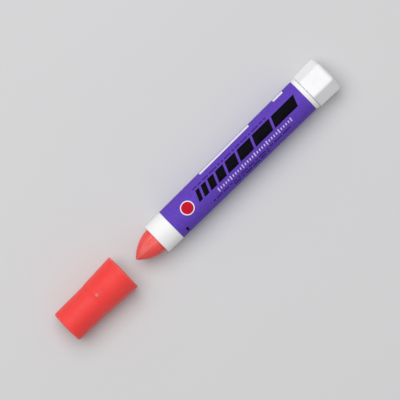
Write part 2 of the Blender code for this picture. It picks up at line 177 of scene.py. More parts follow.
def filleted(corners, steps=5):
    """An open profile of (place, radius) points from corners (place, radius, fillet)."""
    made = []
    for i, (s, r, fillet) in enumerate(corners):
        if fillet <= 0 or i in (0, len(corners) - 1):
            made.append((s, r))
            continue
        here = Vector((s, r))
        before = Vector(corners[i - 1][:2]) - here
        after = Vector(corners[i + 1][:2]) - here
        half = before.angle(after) / 2
        run = min(fillet / math.tan(half), FILLET_SHARE * before.length, FILLET_SHARE * after.length)
        radius = run * math.tan(half)
        inward = (before.normalized() + after.normalized()).normalized()
        middle = here + inward * (radius / math.sin(half))
        first = here + before.normalized() * run - middle
        last = here + after.normalized() * run - middle
        sweep = first.angle_signed(last)
        for k in range(steps + 1):
            made.append(tuple(middle + Matrix.Rotation(-sweep * k / steps, 2) @ first))
    return made


def lathe(name, rows, angles, loop=False):
    """A closed skin through rings round the axis. A row is (place, radius), or a function of the angle."""
    bm = bmesh.new()
    rings = []
    for row in rows:
        at = row if callable(row) else (lambda angle, fixed=row: fixed)
        s, radius = at(angles[0])
        if radius < TINY:
            rings.append([bm.verts.new(spot(s, 0.0, 0.0))])
        else:
            rings.append([bm.verts.new(spot(*at(angle), angle)) for angle in angles])
    following = rings[1:] + rings[:1] if loop else rings[1:]
    for ring, after in zip(rings, following):
        size = max(len(ring), len(after))
        for i in range(size):
            j = (i + 1) % size
            near = [ring[i % len(ring)], ring[j % len(ring)]]
            far = [after[j % len(after)], after[i % len(after)]]
            bm.faces.new(list(dict.fromkeys(near + far)))
    return solid(name, bm)


def shown(name, bm, sharp=SHARP_ANGLE):
    mesh = bpy.data.meshes.new(name)
    bm.to_mesh(mesh)
    bm.free()
    mesh.shade_smooth()
    mesh.set_sharp_from_angle(angle=math.radians(sharp))
    obj = bpy.data.objects.new(name, mesh)
    bpy.context.scene.collection.objects.link(obj)
    return obj


def solid(name, bm, sharp=SHARP_ANGLE):
    """A closed skin, with its faces turned outwards."""
    bmesh.ops.recalc_face_normals(bm, faces=bm.faces)
    return shown(name, bm, sharp)


def crisp(obj):
    """Keeps wide faces flat beside narrow fillets."""
    normals = obj.modifiers.new("normals", "WEIGHTED_NORMAL")
    normals.keep_sharp = True
    normals.weight = NORMAL_WEIGHT
    return obj


def settle(obj, body, slot, material, *nodes):
    """Gives a piece its material and its body, and hides the CAD nodes that it stands for. Its slot is not
    used.
    """
    obj.data.materials.append(material)
    if nodes:
        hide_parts(*nodes)
    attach(obj, body)


# Materials

# Sockets of a Mix node for colours
MIX_SHARE = 0
MIX_FIRST = 6
MIX_SECOND = 7
MIX_RESULT = 2


class Nodes:
    """A short way to write the node tree of a Principled material. Scales of noise are in waves a metre."""

    def __init__(self, name):
        self.material = bpy.data.materials.new(name)
        self.material.use_nodes = True
        self.tree = self.material.node_tree
        self.shader = self.tree.nodes["Principled BSDF"]
        self.coords = self.tree.nodes.new("ShaderNodeTexCoord").outputs["Object"]
        self.normal = None

    def node(self, kind, **settings):
        made = self.tree.nodes.new("ShaderNode" + kind)
        for key, value in settings.items():
            setattr(made, key, value)
        return made

    def feed(self, socket, value):
        if isinstance(value, bpy.types.NodeSocket):
            self.tree.links.new(value, socket)
        else:
            socket.default_value = value

    def set(self, **values):
        for key, value in values.items():
            self.feed(self.shader.inputs[key.replace("_", " ")], value)

    def vector(self, operation, a, b=None):
        made = self.node("VectorMath", operation=operation)
        self.feed(made.inputs[0], a)
        if b is not None:
            self.feed(made.inputs[1], b)
        return made.outputs["Value" if operation in ("DOT_PRODUCT", "LENGTH") else "Vector"]

    def stretched(self, x, y, z):
        return self.vector("MULTIPLY", self.coords, (x, y, z))

    def from_axis(self):
        """The way from the axis to the surface, square to the axis."""
        offset = self.vector("SUBTRACT", self.coords, (0.0, 0.0, AXIS_Z))
        return self.vector("MULTIPLY", offset, (0.0, 1.0, 1.0))

    def outward(self):
        return self.vector("NORMALIZE", self.from_axis())

    def off_axis(self):
        return self.vector("LENGTH", self.from_axis())

    def along(self):
        made = self.node("SeparateXYZ")
        self.feed(made.inputs["Vector"], self.coords)
        return made.outputs["X"]

    def noise(self, scale, detail=3.0, roughness=0.55, vector=None, distortion=0.0):
        made = self.node("TexNoise")
        self.feed(made.inputs["Vector"], vector or self.coords)
        made.inputs["Scale"].default_value = scale
        made.inputs["Detail"].default_value = detail
        made.inputs["Roughness"].default_value = roughness
        made.inputs["Distortion"].default_value = distortion
        return made.outputs["Fac"]

    def ramp(self, value, low, high, to_low=0.0, to_high=1.0):
        made = self.node("MapRange", clamp=True, interpolation_type="SMOOTHSTEP")
        self.feed(made.inputs["Value"], value)
        for key, number in (("From Min", low), ("From Max", high), ("To Min", to_low), ("To Max", to_high)):
            made.inputs[key].default_value = number
        return made.outputs["Result"]

    def math(self, operation, a, b):
        made = self.node("Math", operation=operation)
        self.feed(made.inputs[0], a)
        self.feed(made.inputs[1], b)
        return made.outputs["Value"]

    def times(self, a, b):
        return self.math("MULTIPLY", a, b)

    def plus(self, a, b):
        return self.math("ADD", a, b)

    def mix(self, share, first, second):
        made = self.node("Mix", data_type="RGBA")
        self.feed(made.inputs[MIX_SHARE], share)
        for socket, value in ((MIX_FIRST, first), (MIX_SECOND, second)):
            linked = isinstance(value, bpy.types.NodeSocket)
            self.feed(made.inputs[socket], value if linked else (*value, 1.0))
        return made.outputs[MIX_RESULT]

    def bump(self, height, strength, distance):
        """One more layer of relief over those before it."""
        made = self.node("Bump")
        made.inputs["Strength"].default_value = strength
        made.inputs["Distance"].default_value = distance
        self.feed(made.inputs["Height"], height)
        if self.normal:
            self.feed(made.inputs["Normal"], self.normal)
        self.normal = made.outputs["Normal"]
        self.set(Normal=self.normal)

    def scatter(self, weight, depth, glow):
        self.set(Subsurface_Weight=weight, Subsurface_Scale=depth, Subsurface_Radius=glow)


def srgb(r, g, b):
    return tuple(((c / 255 + 0.055) / 1.055) ** 2.4 for c in (r, g, b))


DUST = (0.6, 0.59, 0.58)
PALE_GLOW = (1.0, 0.9, 0.85)
RED_GLOW = (1.0, 0.3, 0.25)
GRAIN_DEPTH = 0.00003
SCUFF_SHARE = 0.16
SMOOTHER = 0.05
ROUGHER = 0.06
HAZE_ROUGHNESS = 0.5
EDGE_HIGHLIGHT_SHARE = 0.6
EDGE_WIDTH = 1.4


def moulded(
    name, colour, darker, gloss,
    scatter=0.0, glow=PALE_GLOW, depth=0.003, haze=0.0, rub_and_painted_highlight=None, edges=(),
):
    """Moulded plastic: faint blotches, a fine spark-eroded grain and a few lengthwise scuffs.

    Light spreads in it to a depth, and haze is the pale bloom of a frosted surface.
    Edges are (place of the edge, place where its pale rim ends, its radius), and get a painted highlight.
    """
    n = Nodes(name)
    blotch = n.ramp(n.noise(140.0, detail=4.0), low=0.3, high=0.7)
    lines = n.noise(900.0, detail=5.0, roughness=0.7, vector=n.stretched(0.12, 1.0, 1.0), distortion=0.4)
    scuff = n.times(n.ramp(lines, low=0.62, high=0.72), SCUFF_SHARE)
    faded = tuple((c + d) / 2 for c, d in zip(darker, DUST))
    tint = n.mix(scuff, n.mix(blotch, colour, darker), faded)
    # Pale rims at the listed edges: a painted highlight in a paler colour, not wear.
    for edge, end, radius in edges:
        near = n.ramp(n.along(), along_x(edge), along_x(end), to_low=EDGE_HIGHLIGHT_SHARE, to_high=0.0)
        outer = n.ramp(n.off_axis(), (radius - EDGE_WIDTH) * MM, radius * MM)
        patchy = n.ramp(n.noise(1100.0, detail=4.0, roughness=0.7), low=0.3, high=0.6)
        tint = n.mix(n.times(n.times(near, outer), patchy), tint, rub_and_painted_highlight)
    satin = n.ramp(n.noise(420.0), low=0.3, high=0.7, to_low=gloss - SMOOTHER, to_high=gloss + ROUGHER)
    n.set(Base_Color=tint, Roughness=n.plus(satin, scuff), IOR=1.49, Specular_IOR_Level=0.3)
    n.bump(n.noise(3200.0, detail=2.0), strength=0.22, distance=GRAIN_DEPTH)
    n.bump(n.noise(260.0), strength=0.12, distance=2 * GRAIN_DEPTH)
    if scatter:
        n.scatter(scatter, depth, glow)
    if haze:
        n.set(Sheen_Weight=haze, Sheen_Roughness=HAZE_ROUGHNESS)
    return n.material


FLECK_SHARE = 0.35
RUB_FRONT = 1.4
RUB_REAR = 1.2
RUB_SHARE = 0.5
SCRATCH_SHARE = 0.2
WORN_ROUGHNESS = 0.2
PEEL_DEPTH = 0.00003
RIPPLE_DEPTH = 0.00012


def film(name, colour, deep, worn):
    """Printed label film: faint ink mottle, orange peel, and ink rubbed thin at both ends."""
    n = Nodes(name)
    mottle = n.ramp(n.noise(700.0, detail=4.0, roughness=0.65), low=0.3, high=0.72)
    fleck = n.ramp(n.noise(2600.0, detail=2.0), low=0.56, high=0.75)
    tint = n.mix(n.times(fleck, FLECK_SHARE), n.mix(mottle, colour, deep), deep)
    rub_end = along_x(LABEL_FRONT + RUB_FRONT)
    front = n.ramp(n.along(), along_x(LABEL_FRONT), rub_end, to_low=1.0, to_high=0.0)
    rear = n.ramp(n.along(), along_x(LABEL_REAR - RUB_REAR), along_x(LABEL_REAR))
    patchy = n.ramp(n.noise(1500.0, detail=4.0, roughness=0.7), low=0.52, high=0.66)
    rub_and_painted_highlight = n.times(n.plus(front, rear), patchy)
    lines = n.noise(1300.0, detail=4.0, roughness=0.75, vector=n.stretched(0.06, 1.0, 1.0), distortion=0.3)
    scratch = n.ramp(lines, low=0.66, high=0.74)
    wear = n.math("MAXIMUM", n.times(rub_and_painted_highlight, RUB_SHARE), n.times(scratch, SCRATCH_SHARE))
    satin = n.ramp(n.noise(500.0), low=0.3, high=0.7, to_low=0.48, to_high=0.58)
    roughness = n.plus(satin, n.times(wear, WORN_ROUGHNESS))
    n.set(Base_Color=n.mix(wear, tint, worn), Roughness=roughness, IOR=1.5, Specular_IOR_Level=0.06)
    n.bump(n.noise(1100.0, detail=2.0), strength=0.16, distance=PEEL_DEPTH)
    n.bump(n.noise(120.0, detail=2.0), strength=0.1, distance=RIPPLE_DEPTH)
    return n.material


PINHOLE_SHARE = 0.5
INK_DEPTH = 0.00002


def ink(name, colour, thin):
    """Screen-printed ink, a little uneven, with pinholes where it printed thin."""
    n = Nodes(name)
    uneven = n.ramp(n.noise(900.0, detail=4.0, roughness=0.6), low=0.3, high=0.75)
    pinholes = n.ramp(n.noise(4200.0, roughness=0.6), low=0.68, high=0.74)
    tint = n.mix(n.times(pinholes, PINHOLE_SHARE), n.mix(uneven, colour, thin), thin)
    satin = n.ramp(n.noise(800.0), low=0.3, high=0.7, to_low=0.5, to_high=0.62)
    n.set(Base_Color=tint, Roughness=satin, IOR=1.48, Specular_IOR_Level=0.03)
    n.bump(n.noise(1800.0, detail=2.0), strength=0.15, distance=INK_DEPTH)
    return n.material


# Direction, share and evenness of a pale band along the top of the point: a painted highlight.
HIGHLIGHT_ANGLE = 10.0
HIGHLIGHT_SHARE = 0.75
EVEN_HIGHLIGHT = 0.3
DRAG_DEPTH = 0.0004
PIT_DEPTH = 0.00008
BLOOM_DEPTH = 0.0002
WAX_GLOW = (1.0, 0.35, 0.25)


def wax(name, colour, pale, deep):
    """Solid waxy paint: drag marks that run to the point, a painted highlight along its top, and small pits.
    """
    n = Nodes(name)
    outward = n.outward()
    lengthwise = n.vector("ADD", outward, n.stretched(22.0, 0.0, 0.0))
    drag = n.noise(9.0, detail=5.0, roughness=0.65, vector=lengthwise, distortion=0.5)
    # Paler where the surface faces up and a little towards the lit side: a painted highlight, not rubbing.
    highlight_way = (0.0, math.sin(math.radians(HIGHLIGHT_ANGLE)), math.cos(math.radians(HIGHLIGHT_ANGLE)))
    facing = n.ramp(n.vector("DOT_PRODUCT", outward, highlight_way), low=0.82, high=0.995)
    streak = n.ramp(drag, low=0.4, high=0.62)
    rub_and_painted_highlight = n.times(facing, n.plus(n.times(streak, 1 - EVEN_HIGHLIGHT), EVEN_HIGHLIGHT))
    tint = n.mix(n.ramp(drag, low=0.36, high=0.64), deep, colour)
    tint = n.mix(n.times(rub_and_painted_highlight, HIGHLIGHT_SHARE), tint, pale)
    bloom = n.noise(420.0, detail=4.0, roughness=0.6)
    satin = n.ramp(bloom, low=0.3, high=0.7, to_low=0.5, to_high=0.68)
    pits = n.ramp(n.noise(2400.0, detail=4.0, roughness=0.7), low=0.3, high=0.5)
    n.set(Base_Color=tint, Roughness=satin, IOR=1.45, Specular_IOR_Level=0.15)
    n.bump(drag, strength=0.4, distance=DRAG_DEPTH)
    n.bump(pits, strength=0.18, distance=PIT_DEPTH)
    n.bump(bloom, strength=0.15, distance=BLOOM_DEPTH)
    n.scatter(weight=0.2, depth=0.0012, glow=WAX_GLOW)
    n.set(Sheen_Weight=0.25, Sheen_Roughness=0.4)
    return n.material


# Rims of the cap that get a painted highlight in a paler red, at its end and at its mouth.
CAP_RIM_RADIUS = 7.6
CAP_END_HIGHLIGHT = 1.8
CAP_MOUTH_HIGHLIGHT = 0.9
CAP_HIGHLIT_EDGES = (
    (CAP_END, CAP_END + CAP_END_HIGHLIGHT, CAP_RIM_RADIUS),
    (CAP_MOUTH, CAP_MOUTH - CAP_MOUTH_HIGHLIGHT, CAP_BORE_RADIUS),
)

white_barrel = moulded("white_barrel", srgb(249, 248, 249), srgb(244, 243, 244), gloss=0.45, scatter=0.1)
white_knob = moulded("white_knob", srgb(248, 247, 249), srgb(243, 242, 244), gloss=0.42, scatter=0.1)
# The cap's paler edge colour is a painted highlight on its rims.
red_cap = moulded(
    "red_cap", srgb(245, 67, 63), srgb(242, 62, 59), gloss=0.55,
    scatter=0.3, glow=RED_GLOW, depth=0.001, haze=0.12, rub_and_painted_highlight=srgb(246, 132, 120), edges=CAP_HIGHLIT_EDGES,
)
red_mark = moulded(
    "red_mark", srgb(248, 126, 118), srgb(244, 112, 106), gloss=0.45, scatter=0.4, glow=RED_GLOW,
)
natural = moulded("natural_plastic", srgb(228, 225, 216), srgb(218, 214, 204), gloss=0.45)
purple = film("purple_film", srgb(103, 71, 189), srgb(95, 64, 179), srgb(172, 156, 215))
black_ink = ink("black_ink", srgb(6, 5, 9), srgb(14, 11, 21))
dark_ink = ink("dark_ink", srgb(30, 17, 68), srgb(46, 29, 92))
pale_ink = ink("pale_ink", srgb(222, 210, 244), srgb(196, 178, 232))
white_ink = ink("white_ink", srgb(245, 243, 248), srgb(237, 234, 243))
red_ink = ink("red_ink", srgb(206, 26, 44), srgb(186, 24, 48))
# The second colour is a painted highlight along the top of the point.
paint = wax("waxy_paint", srgb(249, 92, 88), srgb(247, 136, 124), srgb(238, 74, 75))


# Barrel

BARREL_SIDES = 120
RIB_ANGLES = (45.0, 135.0, 225.0, 315.0)
RIB_HALF_ANGLE = 5.8
RIB_FLANK = 0.3
RIB_END_SLOPE = 0.02
BAND_LIP = 0.5
BAND_RISE = 0.03
BAND_BLEND = 0.6
BAND_EDGE = 0.18
RECESS_REAR_EDGE = 0.06
RECESS_FRONT_EDGE = 0.08
RECESS_CORNER = 0.05
THROAT_EDGE = 0.08
GROOVE_EDGE = 0.05
GROOVE_FLOOR_EDGE = 0.1


def barrel_radius(s):
    return NOSE_RADIUS + (TAIL_RADIUS - NOSE_RADIUS) * s / BARREL_LENGTH


def in_rib(angle):
    return any(apart(angle, rib) <= RIB_HALF_ANGLE + TINY for rib in RIB_ANGLES)


def bore(s):
    """A ring of the bore, which stands in at the guide ribs."""
    return lambda angle: (s, RIB_CREST_RADIUS if in_rib(angle) else GUIDE_RADIUS)


def make_barrel():
    flanks = (-RIB_HALF_ANGLE - RIB_FLANK, -RIB_HALF_ANGLE, RIB_HALF_ANGLE, RIB_HALF_ANGLE + RIB_FLANK)
    edges = {(rib + side) % 360.0 for rib in RIB_ANGLES for side in flanks}
    angles = sorted(set(even_angles(BARREL_SIDES)) | edges)
    front = barrel_radius(LABEL_FRONT)
    rear = barrel_radius(LABEL_REAR)
    outside = filleted([
        (BARREL_LENGTH, GUIDE_RADIUS + JOURNAL_CHAMFER, 0.0),
        (BARREL_LENGTH, TAIL_RADIUS + BAND_FLARE, BAND_EDGE),
        (LABEL_REAR + BAND_LIP, rear + BAND_RISE, BAND_BLEND),
        (LABEL_REAR, rear, RECESS_REAR_EDGE),
        (LABEL_REAR, rear - LABEL_RECESS, RECESS_CORNER),
        (LABEL_FRONT, front - LABEL_RECESS, RECESS_CORNER),
        (LABEL_FRONT, front, RECESS_FRONT_EDGE),
        (0.0, NOSE_RADIUS, COLLAR_EDGE),
        (0.0, THROAT_RADIUS + THROAT_CHAMFER, THROAT_EDGE),
        (THROAT_CHAMFER, THROAT_RADIUS, THROAT_EDGE),
        (THROAT_LENGTH, THROAT_RADIUS, 0.0),
    ])
    rib_front = THROAT_LENGTH + RIB_SETBACK
    inside = [(rib_front, RIB_CREST_RADIUS), bore(rib_front + RIB_HEIGHT), bore(RIB_REAR)]
    tail = filleted([
        (RIB_REAR + RIB_END_SLOPE, GUIDE_RADIUS, 0.0),
        (GROOVE_PLACE - GROOVE_HALF_WIDTH, GUIDE_RADIUS, GROOVE_EDGE),
        (GROOVE_PLACE, GUIDE_RADIUS + GROOVE_DEPTH, GROOVE_FLOOR_EDGE),
        (GROOVE_PLACE + GROOVE_HALF_WIDTH, GUIDE_RADIUS, GROOVE_EDGE),
        (BARREL_LENGTH - JOURNAL_CHAMFER, GUIDE_RADIUS, 0.0),
    ])
    obj = crisp(lathe("barrel_shell", outside + inside + tail, angles, loop=True))
    settle(obj, "barrel", "barrel", white_barrel, "barrel")


# Label

LABEL_SIDES = 144
LABEL_INSET = 0.04
LABEL_EDGE = 0.03
LABEL_EDGE_STEPS = 3
SEAM_ANGLE = 218.0
SEAM_STEP = 0.15
SEAM_WIDTH = 16.0
SEAM_RAMP = 0.4 * SEAM_WIDTH
SEAM_LIFT = 0.07


def film_lift(angle):
    """The label's end laps over its start, so it stands higher from the seam's edge for the lap's width."""
    past = (SEAM_ANGLE - angle) % 360.0
    if past > SEAM_WIDTH:
        return 0.0
    return SEAM_LIFT * min(1.0, (SEAM_WIDTH - past) / SEAM_RAMP)


def film_ring(s, r):
    return lambda angle: (s, r + film_lift(angle))


def make_label():
    angles = sorted(set(even_angles(LABEL_SIDES)) | {SEAM_ANGLE, SEAM_ANGLE + SEAM_STEP})
    front = LABEL_FRONT + LABEL_INSET
    rear = LABEL_REAR - LABEL_INSET
    outer = filleted([
        (rear, TAIL_RADIUS - LABEL_THICKNESS, 0.0),
        (rear, barrel_radius(LABEL_REAR), LABEL_EDGE),
        (front, barrel_radius(LABEL_FRONT), LABEL_EDGE),
        (front, NOSE_RADIUS - LABEL_THICKNESS, 0.0),
    ], steps=LABEL_EDGE_STEPS)
    rows = [film_ring(s, r) for s, r in outer[1:-1]]
    rows.append((front, barrel_radius(LABEL_FRONT) - LABEL_THICKNESS))
    rows.append((rear, barrel_radius(LABEL_REAR) - LABEL_THICKNESS))
    obj = crisp(lathe("label_film", rows, angles, loop=True))
    settle(obj, "barrel", "label", purple, "label")


# Print on the label: plain shapes in the colours of such labels

INK_LEVEL = 0.02
INK_SINK = 0.02
PRINT_STEP = 2.0
DISC_STEPS = 24
DISC_TIP = 0.01
CORNER_ANGLES = (0, 20, 40, 60, 75, 90)


def print_shapes(name, shapes, material, layer=1):
    """Thin closed shapes of ink. Each is a list of lines (angle, first place, last place) on the label."""
    bm = bmesh.new()
    top = layer * INK_LEVEL
    for lines in shapes:
        rows = []
        for angle, first, last in lines:
            corners = ((first, -INK_SINK), (first, top), (last, top), (last, -INK_SINK))
            rows.append([bm.verts.new(spot(s, barrel_radius(s) + lift, angle)) for s, lift in corners])
        for before, after in zip(rows, rows[1:]):
            for i in range(len(before)):
                bm.faces.new((before[i - 1], before[i], after[i], after[i - 1]))
        bm.faces.new(rows[0])
        bm.faces.new(rows[-1])
    settle(solid(name, bm), "barrel", "label", material)


def width_angle(width, s):
    """The angle that a width spans on the label."""
    return math.degrees(width / barrel_radius(s))


def across(low, high):
    """Angles from low to high, close enough for the print to follow the label."""
    count = max(1, math.ceil(abs(high - low) / PRINT_STEP))
    return [low + (high - low) * i / count for i in range(count + 1)]


def panel(first, last, low, high, corner):
    """A rectangle with its corners rounded, from one angle to another."""
    mid = (first + last) / 2
    rim = [corner * (1 - math.cos(math.radians(a))) for a in CORNER_ANGLES]
    spread = set(across(low, high))
    spread |= {low + width_angle(w, mid) for w in rim} | {high - width_angle(w, mid) for w in rim}
    lines = []
    for angle in sorted(spread):
        inset = min(angle - low, high - angle) / width_angle(1.0, mid)
        short = max(0.0, corner - inset)
        cut = corner - math.sqrt(max(0.0, corner ** 2 - short ** 2))
        lines.append((angle, first + cut, last - cut))
    return lines


def slanted(first, width, low, high, lean=0.0):
    """A bar across the label, from one angle to another. It leans towards the knob by so much."""
    lines = []
    for angle in across(low, high):
        start = first + lean * (angle - low) / (high - low)
        lines.append((angle, start, start + width))
    return lines


def disc(centre, angle, radius):
    lines = []
    for i in range(DISC_STEPS + 1):
        turn = math.pi * i / DISC_STEPS
        half = max(radius * math.sin(turn), DISC_TIP)
        lines.append((angle - width_angle(radius * math.cos(turn), centre), centre - half, centre + half))
    return lines


BAR_COUNT = 8
BAR_START = 26.4
BAR_WIDTH = 2.2
BAR_GROWTH = 1.31
BAR_GAP = 1.3
BAR_LEAN = 2.2
BAR_ANGLES = (-11.5, 25.0)


def make_bars():
    """A row of bars, each wider than the one before."""
    bars = []
    s = BAR_START
    width = BAR_WIDTH
    for _ in range(BAR_COUNT):
        bars.append(slanted(s, width, *BAR_ANGLES, lean=BAR_LEAN))
        s += width + BAR_GAP
        width *= BAR_GROWTH
    print_shapes("print_bars", bars, black_ink)


TICK_COUNT = 31
TICK_START = 36.4
TICK_PITCH = 1.55
TICK_WIDTH = 0.62
TICK_LEAN = 0.25
TICK_ANGLES = (-31.0, -22.5)
LONG_TICK_ANGLES = (-34.0, -19.5)
LONG_TICK_EVERY = 5


def make_scale():
    ticks = []
    for i in range(TICK_COUNT):
        low, high = TICK_ANGLES if i % LONG_TICK_EVERY else LONG_TICK_ANGLES
        ticks.append(slanted(TICK_START + TICK_PITCH * i, TICK_WIDTH, low, high, lean=TICK_LEAN))
    print_shapes("print_scale", ticks, pale_ink)


STROKE_SEED = 7
STROKE_WIDTH = 0.45
STROKE_PITCH = 0.7
STROKE_BREAK = 0.75
FEWEST_STROKES = 2
MOST_STROKES = 7
# First place, last place, low angle and high angle of each row
STROKE_ROWS = ((28.0, 75.0, 31.5, 37.5), (31.5, 79.0, -48.5, -41.5), (44.0, 66.0, -62.0, -53.0))


def make_stroke_rows():
    """Rows of upright strokes in uneven groups."""
    rng = random.Random(STROKE_SEED)
    strokes = []
    for first, last, low, high in STROKE_ROWS:
        s = first
        while s < last:
            for _ in range(rng.randint(FEWEST_STROKES, MOST_STROKES)):
                strokes.append(slanted(s, STROKE_WIDTH, low, high))
                s += STROKE_PITCH
            s += STROKE_BREAK
    print_shapes("print_rows", strokes, dark_ink)


SIDE_MARK_PLACE = 13.3
SIDE_MARK_WIDTH = 1.1
SIDE_MARK_ANGLES = (-64.0, -44.0)
DOT_PLACE = 20.4
DOT_ANGLE = 3.0
DOT_RADIUS = 2.95
DOT_RING_RADIUS = 3.45
STRIP_PLACES = ((35.4, 67.4), (83.3, 89.5))
STRIP_ANGLES = (61.0, 79.0)
STRIP_CORNER = 0.4


def make_marks():
    """A small mark, a dot in a ring, and two pale strips."""
    print_shapes("print_mark", [slanted(SIDE_MARK_PLACE, SIDE_MARK_WIDTH, *SIDE_MARK_ANGLES)], black_ink)
    print_shapes("print_dot_ring", [disc(DOT_PLACE, DOT_ANGLE, DOT_RING_RADIUS)], white_ink)
    print_shapes("print_dot", [disc(DOT_PLACE, DOT_ANGLE, DOT_RADIUS)], red_ink, layer=2)
    strips = [panel(first, last, *STRIP_ANGLES, STRIP_CORNER) for first, last in STRIP_PLACES]
    print_shapes("print_strips", strips, white_ink)


# Knob

KNOB_SIDES = 6
FLAT_TURN = 360.0 / KNOB_SIDES
HALF_FLAT = FLAT_TURN / 2
COS_HALF = math.cos(math.radians(HALF_FLAT))
TAN_HALF = math.tan(math.radians(HALF_FLAT))
# Angles from the middle of a flat, closer together where it rounds into the next
FLAT_ANGLES = (0.0, 6.0, 12.0, 18.0, 22.0, 24.0, 25.0, 26.0, 26.8, 27.6, 28.4, 29.2)
CORNER_TRIM = 0.02
DOME_FOOT = KNOB_LENGTH - KNOB_DOME
DOME_RINGS = 8
END_FILLET_RINGS = 10
SIDE_RINGS = (9.0, 6.5, 4.0, 2.0, 1.0)
RIM_RINGS = 6
BEAD_HEIGHT = 0.43
BEAD_EDGE = 0.05
BEAD_CREST = 0.12
JOURNAL_INNER_EDGE = 0.15
POCKET_FILLET = 0.3
BOSS_FILLET = 0.2
BOSS_EDGE = 0.1
SOCKET_MOUTH_RADIUS = 3.2
SOCKET_FLOOR_SLOPE = 0.05


def rounded_hex(angle, flat, corner):
    """Distance to the side of a hexagon. Its edges are rounded, so that its corners lie at a given radius."""
    off = abs((angle - KNOB_ROLL + HALF_FLAT) % FLAT_TURN - HALF_FLAT)
    edge = (flat / COS_HALF - corner) / (1 / COS_HALF - 1)
    centre = (flat - edge) / COS_HALF
    end_of_flat = math.degrees(math.atan2((flat - edge) * TAN_HALF, flat))
    if off <= end_of_flat:
        return flat / math.cos(math.radians(off))
    skew = math.radians(HALF_FLAT - off)
    return centre * math.cos(skew) + math.sqrt(max(0.0, edge ** 2 - (centre * math.sin(skew)) ** 2))


def knob_ring(z, shrink=0.0):
    """A ring of the knob's side, at a height over its seat."""
    flare = KNOB_FLARE * z / KNOB_LENGTH
    flat = KNOB_FLAT + flare
    corner = KNOB_CORNER + flare - CORNER_TRIM
    return lambda angle: (KNOB_SEAT + z, rounded_hex(angle, flat, corner) - shrink)


def dome_ring(share):
    """A ring of the domed end, at a share of the way from the axis out to its foot."""
    foot = knob_ring(DOME_FOOT)
    s = KNOB_SEAT + DOME_FOOT + KNOB_DOME * (1 - share ** 2)
    return lambda angle: (s, share * (foot(angle)[1] - KNOB_END_FILLET))


def socket_ring(s):
    """A ring of the socket for the screw's six-sided root."""
    flat = SOCKET_CORNER * COS_HALF
    return lambda angle: (s, rounded_hex(angle - HALF_FLAT + KNOB_ROLL, flat, SOCKET_CORNER - CORNER_TRIM))


def knob_outside():
    rows = [(KNOB_END, 0.0)]
    rows += [dome_ring(i / DOME_RINGS) for i in range(1, DOME_RINGS + 1)]
    for i in range(1, END_FILLET_RINGS + 1):
        turn = math.pi / 2 * i / END_FILLET_RINGS
        z = DOME_FOOT - KNOB_END_FILLET * (1 - math.cos(turn))
        rows.append(knob_ring(z, KNOB_END_FILLET * (1 - math.sin(turn))))
    rows += [knob_ring(z) for z in SIDE_RINGS]
    for i in range(RIM_RINGS + 1):
        turn = math.pi / 2 * i / RIM_RINGS
        rows.append(knob_ring(KNOB_RIM * (1 - math.sin(turn)), KNOB_RIM * (1 - math.cos(turn))))
    return rows


def knob_inside():
    """The journal with its bead, and the pocket with the boss that holds the screw."""
    rows = filleted([
        (KNOB_SEAT, JOURNAL_RADIUS, 0.0),
        (GROOVE_PLACE + BEAD_HALF_WIDTH, JOURNAL_RADIUS, BEAD_EDGE),
        (GROOVE_PLACE, JOURNAL_RADIUS + BEAD_HEIGHT, BEAD_CREST),
        (GROOVE_PLACE - BEAD_HALF_WIDTH, JOURNAL_RADIUS, BEAD_EDGE),
        (JOURNAL_FRONT, JOURNAL_RADIUS, JOURNAL_CHAMFER),
        (JOURNAL_FRONT, POCKET_RADIUS, JOURNAL_INNER_EDGE),
        (POCKET_FLOOR, POCKET_RADIUS, POCKET_FILLET),
        (POCKET_FLOOR, BOSS_RADIUS, BOSS_FILLET),
        (BOSS_FRONT, BOSS_RADIUS, BOSS_EDGE),
        (BOSS_FRONT, SOCKET_MOUTH_RADIUS, 0.0),
    ])
    rows += [socket_ring(BOSS_FRONT), socket_ring(POCKET_FLOOR - SOCKET_FLOOR_SLOPE)]
    return rows + [(POCKET_FLOOR, 0.0)]


def make_knob():
    offsets = {side * a for a in FLAT_ANGLES for side in (1.0, -1.0)} | {HALF_FLAT}
    middles = [KNOB_ROLL + FLAT_TURN * i for i in range(KNOB_SIDES)]
    angles = sorted({(middle + a) % 360.0 for middle in middles for a in offsets})
    obj = crisp(lathe("turn_knob_shell", knob_outside() + knob_inside(), angles))
    settle(obj, "knob", "knob", white_knob, "turn_knob")


# Paint stick

PAINT_SIDES = 120
WORN_SIDES = (15.0, -23.0)
WORN_HALF = 19.0
WEAR_STARTS = -1.0
WEAR_FULL = -7.0
BARE_STARTS = 2.0
BARE_FULL = -2.0
SKIN = 0.03
BARE_CUT = 0.09
DRAG_CUT = 0.07
PIT_CUT = 0.03
# Waves of the drag marks and the pits, along the stick and round it
DRAG_ALONG = 0.10
DRAG_ROUND = 1.5
DRAG_COARSE = 1.7
DRAG_FINE = 4.1
DRAG_FINE_SHARE = 0.5
DRAG_FINE_SHIFT = Vector((7.0, 3.0, 1.0))
PIT_ALONG = 0.4
PIT_ROUND = 0.6
SMOOTH_TIP = 2.0
TIP_RADIUS = 0.05
BODY_RINGS = 24
BODY_START = PAINT_STEP - 2.8
PLAIN_END = PAINT_STEP - 2.0
POINT_RINGS = 40
POINT_CROWDING = 1.7
BORE_FILLET = 0.3
SLEEVE_EDGE = 0.1
FOOT_INNER_EDGE = 0.15
FOOT_EDGE = 0.3
STEP_FILLET = 0.1
STEP_EDGE = 0.2


def paint_radius(z):
    """The ogive of the bare point, from its tip back."""
    share = min(1.0, max(0.0, -z / PAINT_TIP))
    return PAINT_RADIUS * (1 - (1 - share) ** POINT_CURVE) ** POINT_POWER


